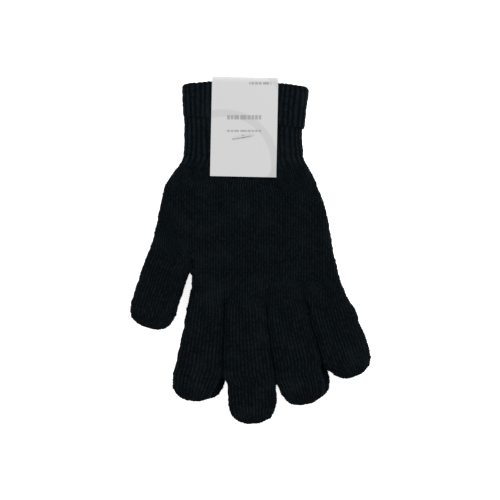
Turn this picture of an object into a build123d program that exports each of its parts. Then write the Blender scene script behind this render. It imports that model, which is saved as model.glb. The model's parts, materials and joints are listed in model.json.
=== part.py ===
"""A pair of knitted stretch gloves with conductive fingertips, laid one on the other and held by a
folded card and a nylon pin through both cuffs. Millimetres. X runs across the hand with the thumb at
-X, Y from the fingertips to the cuffs, Z up from the surface that the pair lies on."""

import os
from collections import namedtuple
from math import asin, atan2, cos, hypot, pi, radians, sin, sqrt

from build123d import *

# Knit
hand_thickness = 8.4  # outside, one empty glove lying flat
hand_wall = 1.7
edge_radius = 3.2  # rounding along the two sides of the hand and of each digit
tip_zone = 16.0  # length of the conductive cap on each digit
layer_gap = 0.4  # air between the two gloves
fold_gap = 0.3  # air behind each folding line

# Hand outline
wrist_line = 37.2  # the hand folds from the cuff here
knuckle_line = -38.5  # the four fingers fold here
wrist_half_width = 43.3
wrist_middle = -5.6
hand_left, hand_right = -37.3, 61.3  # sides of the row of four fingers at the knuckles
thumb_side = [(-53.2, 25.0), (-56.6, 9.0)]  # bulge of the thumb side, wrist to thumb
little_side = [(51.2, -10.0), (47.2, 12.0)]  # sweep of the other side, knuckles to wrist
crotch_side = [(1.6, -1.8), (1.0, -9.6)]  # side of the hand below the thumb, from the corner of its opening

# Digits: where each begins on its folding line, and its round tip
Digit = namedtuple("Digit", "root_x root_width tip_x tip_end tip_width")
front_fingers = {
    "index": Digit(-26.5, 21.8, -32.8, -89.2, 26.0),
    "middle": Digit(-2.9, 24.0, 1.0, -102.5, 28.0),
    "ring": Digit(21.8, 23.4, 30.5, -91.3, 26.0),
    "little": Digit(47.9, 25.4, 57.9, -75.2, 24.6),
}
back_fingers = {
    "index": Digit(-26.5, 21.8, -28.2, -88.6, 26.0),
    "middle": Digit(-2.7, 23.8, 1.8, -101.4, 27.6),
    "ring": Digit(22.0, 23.0, 34.0, -89.8, 26.0),
    "little": Digit(48.2, 24.8, 57.6, -74.6, 24.6),
}
thumb_root = (-50.33, -13.4)
thumb_angle = -18.0  # degrees, from pointing straight away from the cuff
thumb_reach = 20.6  # folding line to the centre of the round tip
thumb_width = 27.0

# Cuffs
cuff_middle = -3.9
cuff_width = 70.2
cuff_thickness = 6.2
cuff_wall = 0.95
cuff_start, cuff_mouth = 56.0, 97.0
band_width = 75.0
band_thickness = cuff_thickness + 1.6
band_start = 76.5
elastic_count = 4
elastic_pitch = 4.4
elastic_width, elastic_depth = 0.9, 0.4
wrist_thickness = 7.2
wrist_wall = 1.1

# Header card and pin
card_width, card_length, card_sheet = 38.9, 59.0, 0.4
card_fold = (-2.8, 102.09)  # middle of the folded edge
card_turn = -1.2
card_bend = 3.5
card_air = 0.2  # between the card and the cuffs
pin_place = (-4.1, 66.7)
pin_turn = 10.0
thread_radius, bar_radius, bar_length = 0.25, 0.5, 12.0
paddle_length, paddle_width, paddle_height = 6.0, 4.0, 1.0
pierced_radius = 0.45  # hole that the pin's thread opens in knit and card

# Heights worked out from the stack: paddle, card, back cuff, front cuff, card, bar
half_hand = hand_thickness / 2
card_bottom = paddle_height
back_cuff_height = card_bottom + card_sheet + card_air + band_thickness / 2
front_cuff_height = back_cuff_height + band_thickness + card_air
card_top = front_cuff_height + band_thickness / 2 + card_air + card_sheet
back_hand_height = half_hand
front_hand_height = back_hand_height + hand_thickness + layer_gap
far = 300.0  # longer than the whole pair, for cuts
run_out = 1.0  # how far a hollow passes the end that it opens

os.makedirs("parts", exist_ok=True)


def save(piece, name):
    piece.label = name
    export_step(piece, f"parts/{name}.step")


def touch_point(start, centre, radius, side):
    """Where a line from start just touches the circle, on its left (-1) or right (1) side."""
    gap_x, gap_y = centre[0] - start[0], centre[1] - start[1]
    reach = hypot(gap_x, gap_y)
    heading = atan2(gap_y, gap_x) + side * asin(radius / reach)
    length = sqrt(reach**2 - radius**2)
    return (start[0] + length * cos(heading), start[1] + length * sin(heading))


def digit_form(frame, half_width, tip, radius, half_height, root, rounded):
    """A digit's solid form: its outline raised both ways from its middle plane. The outside form ends
    in a half round about the folding line, so that it turns without reaching further back."""
    with BuildPart() as form:
        with BuildSketch(frame):
            with BuildLine():
                left, right = (-half_width, 0), (half_width, 0)
                left_touch = touch_point(left, tip, radius, -1)
                right_touch = touch_point(right, tip, radius, 1)
                Line((half_width, root), (-half_width, root))
                Line((-half_width, root), left)
                Line(left, left_touch)
                heading = atan2(tip[1], tip[0])
                end = (tip[0] + radius * cos(heading), tip[1] + radius * sin(heading))
                ThreePointArc(left_touch, end, right_touch)
                Line(right_touch, right)
                Line(right, (half_width, root))
            make_face()
        extrude(amount=half_height, both=True)
        if rounded:
            long_edges = form.edges().filter_by(Axis.Z, reverse=True)
            root_edges = long_edges.filter_by(lambda edge: frame.to_local_coords(edge @ 0.5).Y > root - 0.01)
            fillet(long_edges - root_edges, edge_radius)
            with BuildSketch(Plane(frame.origin, x_dir=frame.y_dir, z_dir=frame.x_dir)):
                Circle(half_height)
                with Locations((-far / 2, 0)):
                    Rectangle(far, 2 * half_height)
            extrude(amount=far, both=True, mode=Mode.INTERSECT)
    return form.part


def make_digit(name, frame, root_width, tip, tip_width):
    """A hollow knitted tube and its conductive cap. tip is the centre of the round end."""
    radius = tip_width / 2
    outside = digit_form(frame, root_width / 2, tip, radius, half_hand, half_hand, True)
    hollow = digit_form(
        frame, root_width / 2 - hand_wall, tip, radius - hand_wall, half_hand - hand_wall, half_hand + run_out, False
    )
    reach = hypot(*tip)
    along = frame.x_dir * (tip[0] / reach) + frame.y_dir * (tip[1] / reach)
    seam = Plane(frame.origin + along * (reach + radius - tip_zone), z_dir=along)
    with BuildPart() as tube:
        add(outside)
        add(hollow, mode=Mode.SUBTRACT)
        split(bisect_by=seam, keep=Keep.BOTTOM)
    save(tube.part, f"{name}_tube")
    with BuildPart() as cap:
        add(outside)
        add(hollow, mode=Mode.SUBTRACT)
        split(bisect_by=seam, keep=Keep.TOP)
    save(cap.part, f"{name}_tip")


def thumb_frame(height):
    """The thumb's own plane: origin on its folding line, X along that line."""
    turn = radians(thumb_angle)
    return Plane((*thumb_root, height), x_dir=(cos(turn), sin(turn), 0), z_dir=(0, 0, 1))


def palm_outline(height, inset, run_out, thumb_mouth):
    """The hand's outline, moved in by inset along its sides and longer by run_out at its open ends.
    thumb_mouth is the line across the thumb's opening, in the thumb's own plane."""
    corners = [thumb_frame(height).from_local_coords((*point, 0)) for point in thumb_mouth]
    mouth = [(corner.X, corner.Y) for corner in corners]
    corner = thumb_frame(height).from_local_coords((thumb_width / 2 + fold_gap, half_hand + fold_gap, 0))
    crotch = [(corner.X + x + inset, corner.Y + y) for x, y in crotch_side]
    crotch[0] = (crotch[0][0], crotch[0][1] + inset)
    wrist_end = wrist_line + half_hand + run_out
    knuckle_end = knuckle_line + half_hand + fold_gap - run_out
    left, right = wrist_middle - wrist_half_width + inset, wrist_middle + wrist_half_width - inset
    with BuildSketch(Plane.XY.offset(height)) as outline:
        with BuildLine():
            Spline((left, wrist_end), *[(x + inset, y) for x, y in thumb_side], mouth[0])
            Polyline(*mouth, crotch[0])
            Spline(*crotch, (hand_left + inset, knuckle_end))
            Line((hand_left + inset, knuckle_end), (hand_right - inset, knuckle_end))
            Spline((hand_right - inset, knuckle_end), *[(x - inset, y) for x, y in little_side], (right, wrist_end))
            Line((right, wrist_end), (left, wrist_end))
        make_face()
    return outline.sketch


def make_palm(side, height):
    """The hand bag: two layers joined along the sides, open at the wrist, thumb and knuckles."""
    face = half_hand + fold_gap
    half_thumb = thumb_width / 2
    opening = half_thumb - hand_wall
    outside_mouth = [(-half_thumb, face), (half_thumb + fold_gap, face)]
    inside_mouth = [(-opening, face - run_out), (opening, face - run_out), (opening, face + hand_wall)]
    with BuildPart() as palm:
        extrude(palm_outline(height, 0, 0, outside_mouth), amount=half_hand, both=True)
        fillet(palm.edges().filter_by(GeomType.BSPLINE), edge_radius)
        with BuildSketch(Plane.YZ):
            with Locations((wrist_line, height)):
                Circle(half_hand)
            with Locations((wrist_line - far / 2, height)):
                Rectangle(far, hand_thickness)
        extrude(amount=far, both=True, mode=Mode.INTERSECT)
        hollow = palm_outline(height, hand_wall, run_out, inside_mouth)
        extrude(hollow, amount=half_hand - hand_wall, both=True, mode=Mode.SUBTRACT)
    save(palm.part, f"{side}_palm")


def across(middle, y, height):
    """The plane of a cross-section of the cuff, facing the mouth."""
    return Plane((middle, y, height), x_dir=(1, 0, 0), z_dir=(0, 1, 0))


def make_wrist(side, cuff_height, hand_height):
    """The gathered tube that widens from the cuff to the hand, just clear of the folding hand."""
    start = wrist_line + half_hand + fold_gap
    lowest = card_bottom + card_sheet + card_air + wrist_thickness / 2
    highest = card_top - card_sheet - card_air - wrist_thickness / 2
    height = min(max(cuff_height + (hand_height - cuff_height) * 0.3, lowest), highest)
    with BuildPart() as wrist:
        with BuildSketch(across(wrist_middle, start, height)):
            SlotOverall(2 * wrist_half_width, wrist_thickness)
        with BuildSketch(across(cuff_middle, cuff_start, cuff_height)):
            SlotOverall(cuff_width, cuff_thickness)
        loft()
        with BuildSketch(across(wrist_middle, start, height)):
            SlotOverall(2 * (wrist_half_width - wrist_wall), wrist_thickness - 2 * wrist_wall)
        with BuildSketch(across(cuff_middle, cuff_start, cuff_height)):
            SlotOverall(cuff_width - 2 * cuff_wall, cuff_thickness - 2 * cuff_wall)
        loft(mode=Mode.SUBTRACT)
    save(wrist.part, f"{side}_wrist")


def make_cuff(side, height):
    """Ribbed tube, turned-back band round its mouth, and the elastic loops between the two."""
    with BuildPart() as rib:
        with BuildSketch(across(cuff_middle, cuff_start, height)):
            SlotOverall(cuff_width, cuff_thickness)
            SlotOverall(cuff_width - 2 * cuff_wall, cuff_thickness - 2 * cuff_wall, mode=Mode.SUBTRACT)
        extrude(amount=cuff_mouth - cuff_start)
        with Locations((*pin_place, height)):
            Cylinder(pierced_radius, band_thickness, mode=Mode.SUBTRACT)
    save(rib.part, f"{side}_cuff_rib")
    with BuildPart() as elastic:
        for loop in range(elastic_count):
            with BuildSketch(across(cuff_middle, band_start + elastic_pitch * (loop + 0.5), height)):
                SlotOverall(cuff_width + 2 * elastic_depth, cuff_thickness + 2 * elastic_depth)
                SlotOverall(cuff_width, cuff_thickness, mode=Mode.SUBTRACT)
            extrude(amount=elastic_width)
    save(elastic.part, f"{side}_cuff_elastic")
    with BuildPart() as band:
        with BuildSketch(across(cuff_middle, band_start, height)):
            SlotOverall(band_width, band_thickness)
            SlotOverall(cuff_width, cuff_thickness, mode=Mode.SUBTRACT)
        extrude(amount=cuff_mouth - band_start)
        add(elastic.part, mode=Mode.SUBTRACT)
    save(band.part, f"{side}_cuff_band")


def make_glove(side, fingers, hand_height, cuff_height):
    make_cuff(side, cuff_height)
    make_wrist(side, cuff_height, hand_height)
    make_palm(side, hand_height)
    make_digit(f"{side}_thumb", thumb_frame(hand_height), thumb_width, (0, -thumb_reach), thumb_width)
    for name, digit in fingers.items():
        frame = Plane((digit.root_x, knuckle_line, hand_height), x_dir=(1, 0, 0), z_dir=(0, 0, 1))
        tip = (digit.tip_x - digit.root_x, digit.tip_end + digit.tip_width / 2 - knuckle_line)
        make_digit(f"{side}_{name}", frame, digit.root_width, tip, digit.tip_width)


def make_card():
    """One sheet folded into a squared U over both cuffs, pierced by the pin."""
    turn = radians(card_turn)
    along = Vector(-sin(turn), cos(turn), 0)
    side_on = Plane((*card_fold, 0), x_dir=along, z_dir=(cos(turn), sin(turn), 0))
    height = card_top - card_bottom
    with BuildPart() as card:
        with BuildSketch(side_on) as profile:
            with Locations((-card_length / 2, card_bottom + height / 2)):
                Rectangle(card_length, height)
            fillet(profile.vertices().group_by(Axis.X)[-1], card_bend)
        extrude(amount=card_width / 2, both=True)
        with BuildSketch(side_on) as hollow:
            with Locations((-card_sheet - card_length / 2, card_bottom + height / 2)):
                Rectangle(card_length, height - 2 * card_sheet)
            fillet(hollow.vertices().group_by(Axis.X)[-1], card_bend - card_sheet)
        extrude(amount=card_width, both=True, mode=Mode.SUBTRACT)
        with Locations((*pin_place, card_top / 2)):
            Cylinder(pierced_radius, 2 * card_top, mode=Mode.SUBTRACT)
    save(card.part, "header_card")


def make_pin():
    """T-bar on the card's face, thread through everything, flat paddle behind."""
    turn = radians(pin_turn)
    bar_axis = Plane((*pin_place, card_top + bar_radius), z_dir=(cos(turn), sin(turn), 0))
    with BuildPart() as pin:
        with BuildSketch(bar_axis):
            Circle(bar_radius)
        extrude(amount=bar_length / 2, both=True)
        fillet(pin.edges().filter_by(GeomType.CIRCLE), bar_radius * 0.6)
        with BuildSketch(Plane((*pin_place, 0), x_dir=(cos(turn), sin(turn), 0), z_dir=(0, 0, 1))):
            RectangleRounded(paddle_length, paddle_width, paddle_width / 4)
        extrude(amount=paddle_height)
        with BuildSketch(Plane((*pin_place, 0))):
            Circle(thread_radius)
        extrude(amount=card_top + bar_radius)
    save(pin.part, "tag_pin")


make_glove("front", front_fingers, front_hand_height, front_cuff_height)
make_glove("back", back_fingers, back_hand_height, back_cuff_height)
make_card()
make_pin()
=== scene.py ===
import json

import bpy
import numpy as np
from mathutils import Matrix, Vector
from mathutils.bvhtree import BVHTree


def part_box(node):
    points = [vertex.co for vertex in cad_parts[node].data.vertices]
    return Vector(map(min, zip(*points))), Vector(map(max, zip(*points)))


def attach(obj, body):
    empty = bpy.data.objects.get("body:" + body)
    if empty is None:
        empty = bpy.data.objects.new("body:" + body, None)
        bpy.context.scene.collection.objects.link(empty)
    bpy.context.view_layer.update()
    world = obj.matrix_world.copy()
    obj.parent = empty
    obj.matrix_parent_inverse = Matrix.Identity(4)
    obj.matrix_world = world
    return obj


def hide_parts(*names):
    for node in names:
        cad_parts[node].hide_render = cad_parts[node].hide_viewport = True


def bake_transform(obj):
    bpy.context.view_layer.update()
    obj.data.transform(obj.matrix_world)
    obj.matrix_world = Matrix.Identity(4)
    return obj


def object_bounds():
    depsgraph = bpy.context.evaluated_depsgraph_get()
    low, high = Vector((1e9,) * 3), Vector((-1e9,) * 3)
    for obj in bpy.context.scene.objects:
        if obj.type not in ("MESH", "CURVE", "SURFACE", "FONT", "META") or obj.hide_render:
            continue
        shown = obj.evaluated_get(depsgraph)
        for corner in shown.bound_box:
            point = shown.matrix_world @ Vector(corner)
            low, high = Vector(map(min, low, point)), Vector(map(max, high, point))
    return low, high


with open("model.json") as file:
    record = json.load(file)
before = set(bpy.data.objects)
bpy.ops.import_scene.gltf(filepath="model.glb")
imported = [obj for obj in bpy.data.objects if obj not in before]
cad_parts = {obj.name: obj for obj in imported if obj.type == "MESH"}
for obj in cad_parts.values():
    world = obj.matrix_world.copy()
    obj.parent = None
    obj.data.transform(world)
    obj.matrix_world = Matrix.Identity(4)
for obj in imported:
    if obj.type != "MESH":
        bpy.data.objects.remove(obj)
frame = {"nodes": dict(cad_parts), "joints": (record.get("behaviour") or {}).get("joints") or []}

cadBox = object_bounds()
solids = {
    name: BVHTree.FromPolygons([v.co for v in node.data.vertices], [p.vertices for p in node.data.polygons])
    for name, node in frame["nodes"].items()
}
print("frame loaded")

knit = {
    "course": 1.25,  # mm between rows of stitches
    "acrossWale": 4,  # points across one column
    "acrossCourse": 3,  # points along one row
    "relief": 0.42,  # mm from groove to crest
    "tipRelief": 0.6,
    "tipCourse": 1.2,  # longer rows on the touch tips
    "tipLumps": 0.5,  # mm of unevenness on the touch tips
    "ribRelief": 0.62,
    "edgeWobble": 0.22,  # mm that the sides wander
    "edgeShiver": 0.12,
    "corner": 4.6,  # mm over which a side rounds off
    "tipCorner": 6.5,  # mm over which a fingertip thins
    "tipLength": 16,  # mm of each touch tip
    "cardGap": 0.55,  # mm kept clear below the card's face
}
pitch = knit["course"] / knit["acrossCourse"]


# Small helpers: everything here is in millimetres until a mesh is made

def smooth(start, end, value):
    share = np.clip((value - start) / (end - start), 0, 1)
    return share * share * (3 - 2 * share)


def softNoise(x, y, size, seed):
    table = np.random.default_rng(seed).uniform(-1, 1, (64, 64))
    gridX, gridY = np.asarray(x) / size + 1000, np.asarray(y) / size + 1000
    cellX, cellY = np.floor(gridX).astype(int), np.floor(gridY).astype(int)
    shareX, shareY = smooth(0, 1, gridX - cellX), smooth(0, 1, gridY - cellY)
    pick = lambda i, j: table[(cellX + i) % 64, (cellY + j) % 64]
    low = pick(0, 0) * (1 - shareX) + pick(1, 0) * shareX
    high = pick(0, 1) * (1 - shareX) + pick(1, 1) * shareX
    return low * (1 - shareY) + high * shareY


def corners(node):
    low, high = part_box(node)
    return np.array(low) * 1000, np.array(high) * 1000


def jointOf(name):
    return next(joint for joint in frame["joints"] if joint["name"] == name)


cardLow, cardHigh = corners("header_card")


def edges(nodes, point, across):
    start, along = Vector(point) / 1000, Vector(across)
    left, right = [], []
    for node in nodes:
        place, *rest = solids[node].ray_cast(start - along * 0.15, along)
        if place:
            left.append((place - start).dot(along) * 1000)
        place, *rest = solids[node].ray_cast(start + along * 0.15, -along)
        if place:
            right.append((place - start).dot(along) * 1000)
    return (min(left), max(right)) if left else None


def rounded(share):
    return np.sqrt(np.clip(1 - (1 - np.clip(share, 0, 1)) ** 2, 0, 1))


def profile(count, width, half, leftLift, rightLift, crown=0.1):
    place, width = np.linspace(0, 1, 241), max(width, 0.001)
    distance = place * width
    free = leftLift == rightLift == 0
    reach = min(knit["corner"], width / 2) if free else knit["corner"]
    fromLeft = rounded(distance / reach)
    fromRight = rounded((width - distance) / reach)
    leftRise = leftLift + (1 - leftLift) * fromLeft
    rightRise = rightLift + (1 - rightLift) * fromRight
    crown = crown * (1 - max(leftLift, rightLift))
    height = half * np.minimum(leftRise, rightRise) * (1 - crown + crown * np.sin(np.pi * place) ** 0.7)
    length = np.concatenate([[0], np.cumsum(np.hypot(np.diff(distance), np.diff(height)))])
    even = np.linspace(0, length[-1], count + 1)
    return np.interp(even, length, distance), np.interp(even, length, height)


def stitches(column, row, seed):
    row = row + 0.25 * softNoise(column / 3, row / 5, 1.0, seed + 3)
    wale = np.floor(column)
    aside = column - wale - 0.5
    own = np.random.default_rng(seed).uniform(-1, 1, (97, 89))
    level = own[wale.astype(int) % 97, np.floor(row + 0.8 * np.abs(aside)).astype(int) % 89]
    crest = 0.5 + 0.5 * np.cos(2 * np.pi * aside)
    leg = 0.5 + 0.5 * np.cos(2 * np.pi * (row + 0.8 * np.abs(aside)))
    # Serves as relief and as colour: in the colour, low values paint shade into the grooves, and level adds
    # random stitch-to-stitch tone
    return crest * (0.45 + 0.55 * leg) * (1 + 0.55 * level)


def ribs(column, row, seed):
    column = column + 0.16 * softNoise(column, row / 9, 1.0, seed + 2)
    rib = np.floor(column)
    aside = column - rib - 0.5
    own = np.random.default_rng(seed).uniform(-1, 1, (97, 89))
    ridge = np.clip(1.15 * np.cos(np.pi * aside), 0, 1) ** 2.0
    leg = 0.5 + 0.5 * np.cos(2 * np.pi * (row + 1.6 * np.abs(aside)))
    level = own[rib.astype(int) % 97, np.floor(row).astype(int) % 89]
    # Serves as relief and as colour: in the colour, low values paint shade between the ribs, and level adds
    # random rib-to-rib tone
    return ridge * (0.66 + 0.26 * leg) * (1 + 0.3 * level) + 0.08 * softNoise(column * 3, row, 1.0, seed + 5)


def outward(points):
    around = np.roll(points[:, :-1], -1, axis=1) - np.roll(points[:, :-1], 1, axis=1)
    around = np.concatenate([around, around[:, :1]], axis=1)
    along = np.gradient(points, axis=0)
    normal = np.cross(along, around)
    return normal / np.maximum(np.linalg.norm(normal, axis=2, keepdims=True), 1e-6)


def makeKnit(name, points, relief, tone):
    rows, columns = points.shape[:2]
    bpy.ops.object.select_all(action="DESELECT")
    bpy.ops.mesh.primitive_grid_add(x_subdivisions=columns - 1, y_subdivisions=rows - 1, size=1)
    piece = bpy.context.object
    piece.name = piece.data.name = name
    moved = points + outward(points) * relief[..., None]
    away = 1 - smooth(cardLow[1] - 7, cardLow[1] - 0.5, moved[..., 1])
    roof = cardHigh[2] - knit["cardGap"] + 1.5 * away
    ground = cardLow[2] + knit["cardGap"] - 1.5 * away
    moved[..., 2] = np.clip(moved[..., 2], np.maximum(ground, 0.05), roof)
    piece.data.vertices.foreach_set("co", (moved * 0.001).astype(np.float32).ravel())
    # The stitch pattern is stored for the material, which paints shade into the grooves from it and adds
    # random tone
    layer = piece.data.attributes.new("stitchToneAndShade", "FLOAT", "POINT")
    layer.data.foreach_set("value", tone.astype(np.float32).ravel())
    piece.data.update()
    bpy.ops.object.mode_set(mode="EDIT")
    bpy.ops.mesh.select_all(action="SELECT")
    bpy.ops.mesh.remove_doubles(threshold=0.00001)
    bpy.ops.mesh.normals_make_consistent(inside=False)
    bpy.ops.object.mode_set(mode="OBJECT")
    bpy.ops.object.shade_smooth()
    piece.select_set(False)
    return piece


def ring(front, back):
    return np.concatenate([front, back[:, ::-1], front[:, :1]], axis=1)


def ringIndex(count, rows):
    there = np.arange(count + 1, dtype=float)
    line = np.concatenate([there, count + 1 + there, [2 * count + 2]])
    return np.tile(line, (rows, 1))


# Materials

class Value:
    def __init__(self, tree, socket):
        self.tree, self.socket = tree, socket

    def node(self, kind, settings, inputs):
        made = self.tree.nodes.new(kind)
        for key, value in settings.items():
            setattr(made, key, value)
        for key, value in inputs.items():
            if isinstance(value, Value):
                self.tree.links.new(value.socket, made.inputs[key])
            else:
                made.inputs[key].default_value = value
        return made

    def maths(self, operation, first, second):
        made = self.node("ShaderNodeMath", {"operation": operation}, {0: first, 1: second})
        return Value(self.tree, made.outputs[0])

    def __add__(self, other):
        return self.maths("ADD", self, other)

    def __radd__(self, other):
        return self.maths("ADD", other, self)

    def __sub__(self, other):
        return self.maths("SUBTRACT", self, other)

    def __rsub__(self, other):
        return self.maths("SUBTRACT", other, self)

    def __mul__(self, other):
        return self.maths("MULTIPLY", self, other)

    def __rmul__(self, other):
        return self.maths("MULTIPLY", other, self)

    def __pow__(self, other):
        return self.maths("POWER", self, other)

    def __lt__(self, other):
        return self.maths("LESS_THAN", self, other)

    def __gt__(self, other):
        return self.maths("GREATER_THAN", self, other)

    def __abs__(self):
        return self.maths("ABSOLUTE", self, 0.0)

    def step(self, start, end):
        made = self.node(
            "ShaderNodeMapRange",
            {"interpolation_type": "SMOOTHSTEP"},
            {"Value": self, "From Min": start, "From Max": end, "To Min": 0.0, "To Max": 1.0},
        )
        return Value(self.tree, made.outputs["Result"])

    def mix(self, first, second):
        made = self.node("ShaderNodeMix", {"data_type": "RGBA"}, {"Factor": self, 6: first, 7: second})
        return Value(self.tree, made.outputs[2])

    def noise(self, scale, detail=3.0):
        made = self.node("ShaderNodeTexNoise", {}, {"Vector": self, "Scale": scale, "Detail": detail})
        return Value(self.tree, made.outputs["Fac"])

    def stretched(self, scale):
        made = self.node("ShaderNodeVectorMath", {"operation": "MULTIPLY"}, {0: self, 1: scale})
        return Value(self.tree, made.outputs[0])

    def parts(self):
        made = self.node("ShaderNodeSeparateXYZ", {}, {0: self})
        return [Value(self.tree, made.outputs[axis]) for axis in "XYZ"]

    def bump(self, distance, strength):
        made = self.node("ShaderNodeBump", {}, {"Height": self, "Distance": distance, "Strength": strength})
        return Value(self.tree, made.outputs["Normal"])


def newMaterial(name):
    material = bpy.data.materials.new(name)
    material.use_nodes = True
    tree = material.node_tree
    shader = next(node for node in tree.nodes if node.type == "BSDF_PRINCIPLED")
    place = Value(tree, tree.nodes.new("ShaderNodeTexCoord").outputs["Object"])
    return material, shader, place


def connect(shader, **links):
    for key, value in links.items():
        value.tree.links.new(value.socket, shader.inputs[key.replace("_", " ")])


knitLook = {
    "groove": (0.0014, 0.0024, 0.0032, 1),  # linear colour down between the stitches, painted shade where the grooves lie in shadow
    "crest": (0.0056, 0.0092, 0.0122, 1),  # linear colour on top of the stitches, the lit end of the painted shade
    "worn": (0.0170, 0.0225, 0.0270, 1),  # lighter fluff
    "roughness": 0.85,
    "sheen": 0.11,
    "fibre": 5200.0,  # fibres to the metre
    "speck": 1300.0,  # light and dark specks to the metre
}


def knitMaterial(name, lighter, fluff):
    material, shader, place = newMaterial(name)
    stitchToneAndShade = Value(place.tree, place.node("ShaderNodeAttribute", {"attribute_name": "stitchToneAndShade"}, {}).outputs["Fac"])
    fibres = place.stretched((1.0, 0.45, 1.0)).noise(knitLook["fibre"], 2.0)
    patches = place.noise(70.0, 3.0)
    specks = place.noise(knitLook["speck"], 2.0).step(0.3, 0.7)
    # Grooves darker and crests lighter: painted shade from the stitch relief, mixed with random stitch tone
    # and specks
    base = (stitchToneAndShade * (0.5 + specks * 0.9)).step(0.05, 1.1).mix(knitLook["groove"], knitLook["crest"])
    worn = (fibres.step(0.52, 0.8) * stitchToneAndShade * fluff + (patches - 0.5) * 0.5) * lighter
    connect(
        shader,
        Base_Color=worn.mix(base, knitLook["worn"]),
        Roughness=knitLook["roughness"] + (fibres - 0.5) * 0.2,
        Normal=(fibres + stitchToneAndShade * 0.6).bump(0.0003, 0.5),
    )
    shader.inputs["Specular IOR Level"].default_value = 0.02
    shader.inputs["Sheen Weight"].default_value = knitLook["sheen"]
    shader.inputs["Sheen Roughness"].default_value = 0.3
    shader.inputs["Sheen Tint"].default_value = (0.30, 0.36, 0.42, 1)
    return material


plainKnit = knitMaterial("plainKnit", 1.0, 0.5)
ribKnit = knitMaterial("ribKnit", 0.8, 0.6)
touchKnit = knitMaterial("touchKnit", 1.25, 0.9)
print("knit materials made")


# The gloves

creases = {
    "front": [  # start x, y, end x, y, half width, depth: folds in the upper face
        (1.0, 47.0, 1.0, 24.0, 2.0, 1.4),
        (9.0, 43.0, 24.0, 27.0, 2.4, 1.4),
        (21.0, 51.0, 30.0, 40.0, 2.2, 1.6),
        (-24.0, 44.0, -16.0, 17.0, 3.2, 1.3),
        (-12.0, 50.0, -9.0, 33.0, 2.2, 0.7),
        (-34.0, 51.0, -37.0, 38.0, 2.4, 0.8),
        (30.0, -76.0, 33.0, -84.0, 5.0, 0.8),
        (36.0, 20.0, 10.0, -6.0, 7.0, 0.45),
        (-22.0, 8.0, 2.0, -14.0, 7.0, 0.4),
        (-37.0, -60.0, -28.0, -66.0, 4.0, 0.4),
        (-8.0, -58.0, 8.0, -64.0, 4.0, 0.4),
        (18.0, -56.0, 34.0, -60.0, 4.0, 0.4),
        (46.0, -50.0, 60.0, -55.0, 4.0, 0.4),
    ],
    "back": [
        (-2.0, 46.0, 2.0, 25.0, 2.4, 0.9),
        (14.0, 44.0, 20.0, 27.0, 2.6, 0.8),
        (-26.0, 47.0, -18.0, 21.0, 3.2, 0.9),
        (28.0, 18.0, 6.0, -4.0, 7.0, 0.4),
        (-10.0, -60.0, 6.0, -64.0, 4.0, 0.4),
        (44.0, -52.0, 58.0, -55.0, 4.0, 0.4),
    ],
}


def folds(side, x, y):
    total = 0.0
    for startX, startY, endX, endY, half, depth in creases[side]:
        runX, runY = endX - startX, endY - startY
        length = np.hypot(runX, runY)
        along = ((x - startX) * runX + (y - startY) * runY) / length
        aside = ((x - startX) * runY - (y - startY) * runX) / length + 0.8 * np.sin(along / 5)
        ends = smooth(-4, 5, along) * smooth(length + 4, length - 5, along)
        dip = np.exp(-((aside / half) ** 2)) - 0.45 * np.exp(-((aside / half / 1.9) ** 2))
        total = total - depth * ends * dip
    gather = smooth(26, 46, y) * smooth(60, 54, y)  # small pleats just below the cuff
    total = total + gather * 0.5 * np.sin(x / 1.25 + 1.5 * softNoise(x, y, 14, 5))
    return total + 0.42 * softNoise(x, y, 13, 21) + 0.22 * softNoise(x, y, 6, 22)


def wander(y, sizes, seeds):
    slow, fast = (float(softNoise(y, 0, size, seed)) for size, seed in zip(sizes, seeds))
    return knit["edgeWobble"] * slow + knit["edgeShiver"] * fast


def shapeRow(side, centre, across, ends, counts, half, lifts, middle, facing):
    spots, heights, ends = [], [], list(ends)
    if ends[-1] - ends[0] > 6 and lifts[0] == 0:
        ends[0] -= wander(centre[1], (3.1, 1.1), (91, 92))
    if ends[-1] - ends[0] > 6 and lifts[-1] == 0:
        ends[-1] += wander(centre[1], (3.3, 1.2), (93, 94))
    for index, count in enumerate(counts):
        width = ends[index + 1] - ends[index]
        distance, height = profile(count, width, half, lifts[index], lifts[index + 1])
        keep = slice(0 if index == 0 else 1, None)
        spots.append(ends[index] + distance[keep])
        heights.append(height[keep])
    spot, height = np.concatenate(spots), np.concatenate(heights)
    x, y = centre[0] + across[0] * spot, centre[1] + across[1] * spot
    sag = folds(side, x, y) * np.clip(height / half, 0, 1) ** 0.7
    upper = height + (sag if facing > 0 else 0.3 * sag)
    lower = height + (0.3 * sag if facing > 0 else sag)
    front = np.stack([x, y, middle + np.maximum(upper, 0)], 1)
    return front, np.stack([x, y, middle - np.maximum(lower, 0)], 1)


def reliefOf(points, count, rows, kind, seed, strength, perColumn, perRow, offset=0):
    index = ringIndex(count, rows)
    row = (np.arange(rows)[:, None] + offset + 0 * index) / perRow
    tone = kind(index / perColumn, row, seed)
    tone[:, -1] = tone[:, 0]
    width = np.linalg.norm(points[:, 0] - points[:, count], axis=1)[:, None]
    return (tone - 0.5) * strength * smooth(0.5, 7, width), np.clip(tone, 0, 1)


def slideRows(start, end, spacing):
    count = max(2, round(abs(end - start) / spacing))
    return np.linspace(start, end, count + 1)


def tubeRows(start, end, radius):  # even rows, then closer ones round the tip
    turns = np.linspace(0, np.pi / 2, round(radius * 1.45 / pitch))[1:]
    return np.concatenate([slideRows(start, end - radius, pitch), end - radius + radius * np.sin(turns)])


def stack(rows):
    return ring(np.array([front for front, back in rows]), np.array([back for front, back in rows]))


def trim(points, relief, tone, start, end):
    return points[start : end + 1], relief[start : end + 1], tone[start : end + 1]


def finishPiece(piece, material, slot, *nodes):
    piece.data.materials.append(material)
    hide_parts(*nodes)


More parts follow.
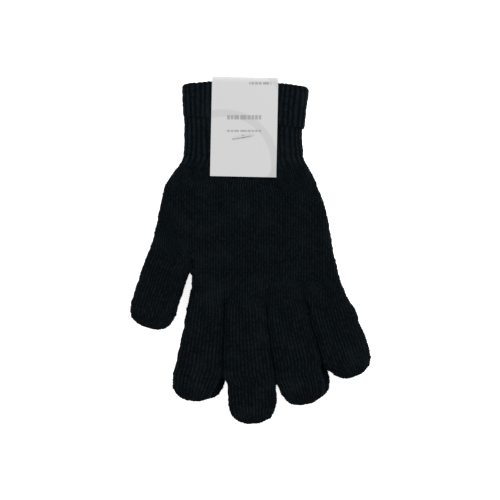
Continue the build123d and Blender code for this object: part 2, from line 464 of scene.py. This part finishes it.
def blunt(ends, toEnd, radius):
    inside = 1 - np.clip(toEnd / radius, 0.0005, 1)
    fuller = (1 - inside**2.5) ** (1 / 2.5) / (1 - inside**2) ** 0.5
    return tuple(end * fuller for end in ends)


def thinned(half, toEnd):
    return max(half * rounded(toEnd / knit["tipCorner"]), 0.001)


def lumps(points, zone, toEnd, seed):
    bumps = softNoise(points[..., 0], points[..., 1] + 3 * points[..., 2], 1.7, seed)
    return knit["tipLumps"] * bumps * zone * smooth(0, 3, toEnd)[:, None]


def easeEnds(ends, places, length, radius):  # takes the flats out of a round tip
    ideal = np.sqrt(np.clip(1 - np.clip((places - length + radius) / radius, 0, 1) ** 2, 0.000001, 1))
    ratios = np.array(ends) / ideal[:, None]
    ratios[places > length - 0.6] = ratios[places <= length - 0.6][-1]
    padded = np.pad(ratios, ((6, 6), (0, 0)), mode="edge")
    eased = sum(padded[i : i + len(places)] for i in range(13)) / 13
    return eased * ideal[:, None]


# Cuff: the ribbed tube and its turned-back band

cuff = {
    "ribCount": 25,  # ribs on one face
    "ribPoints": 8,  # points across one rib
    "pinch": 0.5,  # mm that the rib draws in below the band
    "bandTilt": -0.095,  # slope of the turned-back band's free edge
    "bandShift": 1.3,  # mm that the band has slipped to one side
    "bandRelief": 0.55,
    "mouthArch": 2.6,  # mm that the sides of the mouth lie lower
    "mouthRise": 2.6,  # mm that the knit stands proud of the solid's mouth
    "mouthCorner": 2.4,  # mm of rounding at each side of the mouth
    "lining": 30,  # mm that the band runs down inside the mouth
    "elasticLoops": 4,
    "elasticPitch": 4.4,  # mm between the elastic's dents
    "elasticDent": 0.16,
}


def makeCuff(side, facing):
    ribLow, ribHigh = corners(f"{side}_cuff_rib")
    bandLow, bandHigh = corners(f"{side}_cuff_band")
    middle, centre = (ribLow[2] + ribHigh[2]) / 2, (ribLow[0] + ribHigh[0]) / 2
    ribHalf, bandHalf = (ribHigh[2] - ribLow[2]) / 2, (bandHigh[2] - bandLow[2]) / 2
    count = cuff["ribCount"] * cuff["ribPoints"]

    rows = []
    ys = slideRows(ribLow[1], bandLow[1] + 6, pitch)
    for y in ys:
        pinch = cuff["pinch"] * np.sin(np.pi * (y - ribLow[1]) / 26)
        ends = [ribLow[0] + pinch, ribHigh[0] - 1.5 * pinch]
        rows.append(shapeRow(side, (0, y), (1, 0), ends, [count], ribHalf, [0, 0], middle, facing))
    points = stack(rows)
    perRib, perCourse = cuff["ribPoints"], knit["acrossCourse"]
    looks = reliefOf(points, count, len(ys), ribs, 61 + facing, knit["ribRelief"], perRib, perCourse)
    rib = makeKnit(f"{side}CuffRibKnit", points, *looks)
    finishPiece(rib, ribKnit, "rib_knit", f"{side}_cuff_rib")
    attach(rib, "pair_cuffs")

    # The band: under its free edge, round it, up to the mouth and down inside
    run = bandHigh[1] - bandLow[1]
    section = [(4.0, ribHalf + 0.15), (1.2, ribHalf + 0.15), (0.3, ribHalf + 0.35)]
    section += [(0.0, (ribHalf + bandHalf) / 2), (0.3, bandHalf - 0.15), (1.0, bandHalf)]
    section += [(place, bandHalf) for place in slideRows(1.4, run - 1.2, pitch)]
    section += [(run - 0.5, bandHalf - 0.15), (run - 0.1, bandHalf - 0.5), (run, bandHalf - 0.9)]
    section += [(run - 0.2, bandHalf - 1.4), (run - 0.9, bandHalf - 1.7)]
    section += [(place, bandHalf - 1.8) for place in slideRows(run - 1.6, run - cuff["lining"], pitch * 2)]
    rows = []
    for place, half in section:
        free = np.clip(1 - place / run, 0, 1)
        inset = bandHalf - half
        inset = inset + cuff["mouthCorner"] * (1 - rounded((run - place) / cuff["mouthCorner"]))
        ends = [bandLow[0] + inset + cuff["bandShift"] + 0.9 * free]
        ends += [bandHigh[0] - inset + cuff["bandShift"] - 3.2 * free]
        centrePoint = (0, bandLow[1] + place)
        front, back = shapeRow(side, centrePoint, (1, 0), ends, [count], half, [0, 0], middle, facing)
        for face in (front, back):
            aside = (face[:, 0] - centre) / 37
            waves = 0.35 * free * softNoise(face[:, 0], 0, 7, 71)
            face[:, 1] += cuff["bandTilt"] * (face[:, 0] - centre) * free + waves
            face[:, 1] += (cuff["mouthRise"] - cuff["mouthArch"] * aside**2 - 0.7 * aside) * (1 - free)
            face[:, 1] += 0.35 * (1 - free) * softNoise(face[:, 0], 9, 7, 72) - 1.2 * free
        rows.append((front, back))
    points = stack(rows)
    looks = reliefOf(points, count, len(rows), ribs, 63 + facing, cuff["bandRelief"], perRib, perCourse)
    relief, tone = looks
    places = np.array([place for place, half in section])[:, None]
    for loop in range(cuff["elasticLoops"]):
        dent = (places - 2.2 - cuff["elasticPitch"] * loop - 0.45) / 0.6
        relief = relief - cuff["elasticDent"] * np.exp(-(dent**2))
    band = makeKnit(f"{side}CuffBandKnit", points, relief * 0.9, tone)
    finishPiece(band, ribKnit, "rib_knit", f"{side}_cuff_band", f"{side}_cuff_elastic")
    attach(band, "pair_cuffs")


# Fingers: a tube whose rows turn from the knuckle line at its root, and a touch tip

fingers = {
    "partAt": ((36, 46), (41, 51), (31, 38)),  # mm from the crotches where each pair of fingers parts
    "overlap": 0.25,  # mm that neighbours press into each other
    "bulge": {"little": 1.9},  # mm that an outer finger stands out beside the knuckles
    "bulgeLength": 36,
    "tipSpread": 0.8,  # mm that the round tip is wider than the root
    "settle": 14,  # mm from the crotches over which a finger takes its own width
}
fingerNames = ("index", "middle", "ring", "little")


def closeGap(side, finger, centre, across, middle, found, place):
    number, (left, right) = fingerNames.index(finger), found
    for step in (-1, 1):
        if not 0 <= number + step < 4:
            swell = np.sin(np.pi * np.clip(place / fingers["bulgeLength"], 0, 1))
            bulge = fingers["bulge"].get(finger, 0) * swell
            left, right = (left - bulge, right) if step < 0 else (left, right + bulge)
            continue
        amount = 1 - smooth(*fingers["partAt"][min(number, number + step)], place)
        nodes = [f"{side}_{fingerNames[number + step]}_{part}" for part in ("tube", "tip")]
        other = edges(nodes, (*centre, middle), (*across, 0))
        if other and step < 0:
            left -= max(0, left - other[1]) / 2 * amount + fingers["overlap"] * amount
        if other and step > 0:
            right += max(0, other[0] - right) / 2 * amount + fingers["overlap"] * amount
    return left, right


def makeFinger(side, finger, facing, root, rootWidth, count, middle, half, done):
    nodes = [f"{side}_{finger}_tube", f"{side}_{finger}_tip"]
    tipLow, tipHigh = corners(nodes[1])
    root, rootEnds = np.array(root), (-rootWidth / 2, rootWidth / 2)
    run = np.array([(tipLow[0] + tipHigh[0]) / 2, tipLow[1]]) - root
    radius = rootWidth / 2 + fingers["tipSpread"]
    lean = run[0] / (abs(run[1]) - radius)
    length = np.hypot(lean * (abs(run[1]) - radius), abs(run[1]) - radius) + radius
    heading = np.array([np.sin(np.arctan(lean)), -np.cos(np.arctan(lean))])
    settled = root + heading * fingers["settle"]
    places = tubeRows(0, length, radius)

    found = []
    setRows = []
    for place in places:
        tilt = smooth(0, 16, place)
        centre = root + heading * place
        across = np.array([1 - tilt * (1 + heading[1]), tilt * heading[0]])
        across /= np.hypot(*across)
        inside = 6 < place < length - 0.3
        ends = edges(nodes, (*centre, middle), (*across, 0)) if inside else None
        if ends is None:
            ends = rootEnds if place < length / 2 else (0, 0)
        if place < fingers["settle"]:
            later = edges(nodes, (*settled, middle), (*across, 0)) or ends
            share = smooth(0, fingers["settle"], place)
            ends = tuple(near * (1 - share) + far * share for near, far in zip(rootEnds, later))
        found.append(closeGap(side, finger, centre, across, middle, ends, place))
        setRows.append((centre, across))
    rows = []
    for place, (centre, across), ends in zip(places, setRows, easeEnds(found, places, length, radius)):
        ends = blunt(ends, length - place, radius)
        rowHalf = thinned(half, length - place)
        rows.append(shapeRow(side, centre, across, ends, [count], rowHalf, [0, 0], middle, facing))
    points = stack(rows)

    seam = length - knit["tipLength"]
    zone = smooth(seam - 1, seam + 1, places)[:, None]
    plain = (stitches, 31 + facing, knit["relief"], knit["acrossWale"], knit["acrossCourse"], done)
    tipCourse = knit["acrossCourse"] * knit["tipCourse"]
    rough = (stitches, 77 + facing, knit["tipRelief"], knit["acrossWale"], tipCourse, done)
    plainRelief, plainTone = reliefOf(points, count, len(rows), *plain)
    roughRelief, roughTone = reliefOf(points, count, len(rows), *rough)
    relief = plainRelief * (1 - zone) + roughRelief * zone + lumps(points, zone, length - places, 41)
    tone = plainTone * (1 - zone) + roughTone * zone
    cut = int(np.argmin(np.abs(places - seam)))
    tubePiece = makeKnit(f"{side}{finger.capitalize()}Knit", *trim(points, relief, tone, 0, cut))
    finishPiece(tubePiece, plainKnit, "plain_knit", nodes[0])
    pivot = jointOf(f"{side}_{finger}_fold")["pos_m"]
    pivot[1] + 0.0005
    pivot[1] - 0.0115
    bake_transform(tubePiece)
    tipPiece = makeKnit(f"{side}{finger.capitalize()}TouchTip", *trim(points, relief, tone, cut, len(rows)))
    finishPiece(tipPiece, touchKnit, "touch_knit", nodes[1])
    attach(tipPiece, f"{side}_{finger}")


# Thumb: its base lies beside the palm's edge, then the tube and the touch tip

thumb = {
    "wales": 18,  # columns of stitches on one face
    "radius": 13.5,  # mm, round tip
    "overlap": 0.6,  # mm that the base reaches under the palm's edge at its top
    "easeRows": 25,  # rows over which the outer side is evened out
}


def makeThumb(side, facing, middle, half, valley, valleyLift, valleyTop, crotchY):
    nodes = [f"{side}_thumb_tube", f"{side}_thumb_tip"]
    count, radius = thumb["wales"] * knit["acrossWale"], thumb["radius"]
    joint = jointOf(f"{side}_thumb_fold")
    root = np.array(joint["pos_m"][:2], float) * 1000
    turn = abs(np.arctan2(joint["axis"][1], abs(joint["axis"][0])))
    heading, sideways = np.array([-np.sin(turn), -np.cos(turn)]), np.array([np.cos(turn), -np.sin(turn)])
    tipPoints = [np.array([v.co.x, v.co.y]) * 1000 for v in frame["nodes"][nodes[1]].data.vertices]
    reach = max((point - root) @ heading for point in tipPoints)

    setRows, lengths, travelled = [], [], 0.0
    for y in slideRows(valleyTop, crotchY, pitch):
        angle = turn * smooth(valleyTop, crotchY + 4, y)
        across = np.array([np.cos(angle), -np.sin(angle)])
        corner = np.array([valley(y), y])
        found = edges([f"{side}_palm", *nodes], (*corner, middle), (*across, 0))
        outer = min(found[0], -0.05) if found else -0.05
        under = thumb["overlap"] * smooth(valleyTop, valleyTop - 5, y)
        setRows.append([corner, across, outer, under, half, [0, valleyLift(y)]])
        lengths.append(travelled)
        travelled += pitch
    crotch = np.array([valley(crotchY), crotchY]) - root
    start, offset = crotch @ heading, crotch @ sideways
    places = tubeRows(start, reach, radius)[1:]
    centres = [root + heading * place for place in places]
    found = [
        edges(nodes, (*centre, middle), (*sideways, 0)) if place < reach - 0.3 else (0, 0)
        for centre, place in zip(centres, places)
    ]
    eased = easeEnds([ends or (-radius, radius) for ends in found], places, reach, radius)
    for place, centre, ends in zip(places, centres, eased):
        share = smooth(start - 1, start + 3.5, place)
        right = offset * (1 - share) + ends[1] * share
        ends = blunt((ends[0], right), reach - place, radius)
        setRows.append([centre, sideways, *ends, thinned(half, reach - place), [0, 0]])
        lengths.append(travelled + place - start)
    lengths = np.array(lengths)

    outers = np.array([row[0] + row[1] * row[2] for row in setRows])  # the outer side, evened out
    window, total = thumb["easeRows"], len(outers)
    padded = [np.pad(line, window // 2, mode="edge") for line in outers.T]
    even = np.stack([np.convolve(line, np.ones(window) / window, mode="valid") for line in padded], 1)
    step = np.arange(total)
    keep = np.maximum(smooth(total - 60, total - 40, step), smooth(40, 15, step))[:, None]
    outers = even * (1 - keep) + outers * keep
    rows = []
    for (centre, across, _, right, rowHalf, lifts), outer in zip(setRows, outers):
        ends = [(outer - centre) @ across, right]
        rows.append(shapeRow(side, centre, across, ends, [count], rowHalf, lifts, middle, facing))
    points = stack(rows)

    index = ringIndex(count, len(rows)) / knit["acrossWale"]
    row = np.arange(len(rows))[:, None] / knit["acrossCourse"] + 0 * index
    tone = stitches(index, row, 51 + facing)
    tone[:, -1] = tone[:, 0]
    width = np.linalg.norm(points[:, 0] - points[:, count], axis=1)[:, None]
    seam = lengths[-1] - knit["tipLength"]
    zone = smooth(seam - 1, seam + 1, lengths)[:, None]
    strength = (knit["relief"] + (knit["tipRelief"] - knit["relief"]) * zone) * smooth(1, 14, width)
    relief = (tone - 0.5) * strength + lumps(points, zone, lengths[-1] - lengths, 43)
    tone = np.clip(tone, 0, 1)
    cut = int(np.argmin(np.abs(lengths - seam)))
    base = makeKnit(f"{side}ThumbKnit", *trim(points, relief, tone, 0, cut))
    finishPiece(base, plainKnit, "plain_knit", nodes[0])
    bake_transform(base)
    tip = makeKnit(f"{side}ThumbTouchTip", *trim(points, relief, tone, cut, len(rows)))
    finishPiece(tip, touchKnit, "touch_knit", nodes[1])
    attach(tip, f"{side}_thumb")


# Hand: one strip from the cuff to the crotches, cut into the heel and the palm

hand = {
    "fingerWales": (14, 16, 16, 17),  # columns of stitches on one face of each finger
    "knuckles": (0.0, 0.2236, 0.4757, 0.7267, 1.0),  # where the fingers divide the hand
    "thumbCrotch": 1.9,  # mm from the thumb's folding line up to its crotch
    "valleyRise": 44.0,  # mm that the valley beside the thumb climbs
    "valleyBend": 1.5,
    "ribFade": 11,  # mm over which the cuff's ribs fade into the heel
    "heelEnd": 20,  # mm: the heel ends here
}


def makeHand(side, facing):
    palmLow, palmHigh = corners(f"{side}_palm")
    cuffLow, cuffHigh = corners(f"{side}_cuff_rib")
    wristTop, palmTop, crotchLine = corners(f"{side}_wrist")[1][1], palmHigh[1] - 4, palmLow[1]
    middle, half = (palmLow[2] + palmHigh[2]) / 2, (palmHigh[2] - palmLow[2]) / 2
    cuffMiddle, cuffHalf = (cuffLow[2] + cuffHigh[2]) / 2, (cuffHigh[2] - cuffLow[2]) / 2
    counts = [wales * knit["acrossWale"] for wales in hand["fingerWales"]]
    total = sum(counts)

    def palmEdges(y):
        return edges([f"{side}_palm"], (0, y, middle), (1, 0, 0))

    crotchX = palmEdges(crotchLine + 18)[0]
    crotchY = jointOf(f"{side}_thumb_fold")["pos_m"][1] * 1000 + hand["thumbCrotch"]
    valleyTop = crotchY + hand["valleyRise"]
    outerTop = palmEdges(valleyTop)[0]

    def valley(y):
        share = np.clip((y - crotchY) / hand["valleyRise"], 0, 1)
        return crotchX + (outerTop - crotchX) * share ** hand["valleyBend"]

    def valleyLift(y):
        if y >= valleyTop:
            return 0.0
        groove = 1 - 0.1 * smooth(crotchY + 28, crotchY + 14, y)
        groove = groove - 0.9 * smooth(crotchY + 16, crotchY - 1, y) ** 1.5
        return min(float(rounded((valley(y) - palmEdges(y)[0]) / knit["corner"])), float(groove))

    cuffEdges, wristEdges = (cuffLow[0], cuffHigh[0]), palmEdges(palmTop)
    ys = slideRows(wristTop, crotchLine, pitch)
    strip = []
    for y in ys:
        level = smooth(wristTop, palmTop, y)
        if y > palmTop:
            share = level * 0.5 + 0.5 * np.clip((wristTop - y) / (wristTop - palmHigh[1] + 4), 0, 1)
            left, right = (cuffEdges[i] + (wristEdges[i] - cuffEdges[i]) * share for i in (0, 1))
        elif y >= valleyTop:
            left, right = palmEdges(y)
        else:
            left, right = palmEdges(max(y, crotchLine + 0.1))
            left = valley(y) if y > crotchY else left
        ends = [left + (right - left) * share for share in hand["knuckles"]]
        rise = 1 - 0.05 * smooth(crotchLine + 17, crotchLine + 9, y)
        rise = rise - 0.95 * smooth(crotchLine + 10, crotchLine - 1, y) ** 1.6
        rise = rise if y > crotchLine + 0.01 else 0
        lifts = [valleyLift(y) if y > crotchY else 0, rise, rise, rise, 0]
        rowHalf = cuffHalf + (half - cuffHalf) * level
        rowMiddle = cuffMiddle + (middle - cuffMiddle) * level
        strip.append(shapeRow(side, (0, y), (1, 0), ends, counts, rowHalf, lifts, rowMiddle, facing))
    points, knuckles = stack(strip), strip[-1][0]

    # Columns stand upright in the palm and gather into the fingers and the wrist
    index = ringIndex(total, len(ys))
    spread = (points[..., 0] - knuckles[0, 0]) / (knuckles[-1, 0] - knuckles[0, 0])
    across = spread * total / knit["acrossWale"]
    top = int(np.argmin(np.abs(ys - valleyTop)))
    leftEnd, rightEnd = points[:top, :1, 0], points[:top, total : total + 1, 0]
    fan = (points[:top, :, 0] - leftEnd) / (rightEnd - leftEnd)
    across[:top] = across[top, 0] + fan * (across[top, total] - across[top, 0])
    across[:, total + 1 :] = (2 * total + 2) / knit["acrossWale"] - across[:, total + 1 :]
    upright = smooth(crotchLine, crotchLine + 18, ys)[:, None]
    column = index / knit["acrossWale"] * (1 - upright) + across * upright
    row = np.arange(len(ys))[:, None] / knit["acrossCourse"] + 0 * index
    tone = stitches(column, row, 31 + facing)
    ribbed = ribs(index / total * cuff["ribCount"], row, 61 + facing)
    tone[:, -1], ribbed[:, -1] = tone[:, 0], ribbed[:, 0]
    fade = smooth(wristTop, wristTop - hand["ribFade"], ys)[:, None]
    fade = smooth(0, 1, fade + 0.25 * softNoise(index / 9, 0, 1.0, 81) * fade * (1 - fade) * 4)
    relief = (tone - 0.5) * knit["relief"] * fade + (ribbed - 0.5) * knit["ribRelief"] * (1 - fade)
    tone = np.clip(tone, 0, 1) * fade + np.clip(ribbed, 0, 1) * (1 - fade)

    heelEnd = int(np.argmin(np.abs(ys - hand["heelEnd"])))
    heel = makeKnit(f"{side}HeelKnit", *trim(points, relief, tone, 0, heelEnd))
    finishPiece(heel, plainKnit, "plain_knit", f"{side}_wrist")
    fold = jointOf(f"{side}_wrist_fold")["pos_m"][1]
    fold + 0.006
    fold - 0.008
    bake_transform(heel)
    palm = makeKnit(f"{side}PalmKnit", *trim(points, relief, tone, heelEnd, len(ys)))
    finishPiece(palm, plainKnit, "plain_knit", f"{side}_palm")
    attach(palm, f"{side}_hand")

    first = 0
    for finger, count in zip(fingerNames, counts):
        startX, endX = knuckles[first][0], knuckles[first + count][0]
        root = ((startX + endX) / 2, crotchLine)
        makeFinger(side, finger, facing, root, endX - startX, count, middle, half, len(ys) - 1)
        first += count
    makeThumb(side, facing, middle, half, valley, valleyLift, valleyTop, crotchY)


for side, facing in (("front", 1), ("back", -1)):
    makeCuff(side, facing)
    makeHand(side, facing)
    print(side, "glove made")


# Card and pin

card = {
    "paper": (0.525, 0.525, 0.525, 1),
    "print": (0.44, 0.44, 0.443, 1),
    "line": (0.22, 0.22, 0.225, 1),
    "arcs": [  # plain rings of our own: metres down from the card's top, radius, half width
        (0.030, 0.052, 0.0035),
        (0.030, 0.040, 0.0016),
        (0.052, 0.030, 0.0022),
    ],
    "arcShift": 0.012,  # metres that the rings' middle lies left of the card's
    "words": [  # broken bars, no letters: metres left, right, down from the card's top, half height
        (0.003, 0.016, 0.0045, 0.0008),
        (-0.010, 0.010, 0.0245, 0.0013),
        (-0.011, 0.010, 0.0325, 0.0006),
    ],
    "bar": 0.7,  # share of ink in the bars
}
pinLow, pinHigh = corners("tag_pin")
material, shader, place = newMaterial("cardPaper")
x, y, z = place.parts()
cardX, cardY = float((cardLow[0] + cardHigh[0]) / 2000), float(cardHigh[1] / 1000)
bands = 0.0
for drop, radius, half in card["arcs"]:
    distance = ((x - cardX + card["arcShift"]) ** 2.0 + (y - cardY + drop) ** 2.0) ** 0.5
    bands = bands + (1.0 - abs(distance - radius).step(half - 0.0004, half + 0.0004)) * 0.6
words = 0.0
for left, right, drop, half in card["words"]:
    inside = 1.0 - abs(y - cardY + drop).step(half * 0.8, half * 1.2)
    inside = inside * (x > cardX + left) * (x < cardX + right)
    gaps = place.stretched((1.0, 0.0, 0.0)).noise(900.0, 0.0) > 0.42
    words = words + inside * gaps * card["bar"]
fibre = place.noise(1500.0, 3.0)
pinX, pinY = float((pinLow[0] + pinHigh[0]) / 2000), float((pinLow[1] + pinHigh[1]) / 2000)
hole = 1.0 - (((x - pinX) ** 2.0 + (y - pinY) ** 2.0) ** 0.5).step(0.0007, 0.0013)
words = words + hole
paper = (fibre * 0.25 + bands).mix(card["paper"], card["print"])
connect(
    shader,
    Base_Color=words.mix(paper, card["line"]),
    Roughness=0.55 + fibre * 0.2,
    Normal=fibre.bump(0.0001, 0.25),
)
shader.inputs["Specular IOR Level"].default_value = 0.3
frame["nodes"]["header_card"].data.materials.clear()
frame["nodes"]["header_card"].data.materials.append(material)

pin = {
    "dull": (0.62, 0.62, 0.61, 1),
    "clear": (0.8, 0.8, 0.79, 1),
    "transmission": 0.35,
    "coat": 0.3,
}
material, shader, place = newMaterial("clearNylon")
cloud = place.noise(900.0, 2.0)
connect(
    shader,
    Base_Color=cloud.mix(pin["dull"], pin["clear"]),
    Roughness=0.25 + cloud * 0.2,
    Normal=cloud.bump(0.0001, 0.3),
)
shader.inputs["Transmission Weight"].default_value = pin["transmission"]
shader.inputs["Coat Weight"].default_value = pin["coat"]
frame["nodes"]["tag_pin"].data.materials.clear()
frame["nodes"]["tag_pin"].data.materials.append(material)
print("card and pin dressed")


# Floor, light and camera

studio = {
    "lens": 135.0,
    "height": 1.12,  # metres from the floor up to the camera
    "world": 0.66,
    "floorGlow": 0.8,
    "lamps": {  # place, size and power
        "keyLight": ((0.55, 0.75, 0.9), 0.5, 10.0),
        "fillLight": ((-0.8, -0.3, 0.9), 0.8, 4.0),
    },
}
centre = (Vector(cadBox[0]) + Vector(cadBox[1])) / 2
bpy.ops.object.select_all(action="DESELECT")
bpy.ops.mesh.primitive_plane_add(size=6, location=(0, 0, -0.0002))
floor = bpy.context.object
floor.name = "floor"
material, shader, place = newMaterial("paleFloor")
connect(shader, Base_Color=place.noise(3.0, 1.0).mix((0.93, 0.93, 0.93, 1), (0.95, 0.95, 0.95, 1)))
shader.inputs["Roughness"].default_value = 0.9
shader.inputs["Emission Color"].default_value = (1, 1, 1, 1)
shader.inputs["Emission Strength"].default_value = studio["floorGlow"]
floor.data.materials.append(material)

world = bpy.data.worlds.new("studio")
bpy.context.scene.world = world
world.use_nodes = True
world.node_tree.nodes["Background"].inputs["Color"].default_value = (1, 1, 1, 1)
world.node_tree.nodes["Background"].inputs["Strength"].default_value = studio["world"]

for name, (place, size, power) in studio["lamps"].items():
    light = bpy.data.lights.new(name, "AREA")
    light.size, light.energy = size, power
    made = bpy.data.objects.new(name, light)
    made.location = place
    made.rotation_euler = (centre - Vector(place)).to_track_quat("-Z", "Y").to_euler()
    bpy.context.scene.collection.objects.link(made)

camera = bpy.data.objects.new("camera", bpy.data.cameras.new("camera"))
camera.data.lens = studio["lens"]
camera.location = (centre.x, centre.y, studio["height"])
bpy.context.scene.collection.objects.link(camera)
bpy.context.scene.camera = camera
bpy.context.scene.view_settings.view_transform = "Standard"
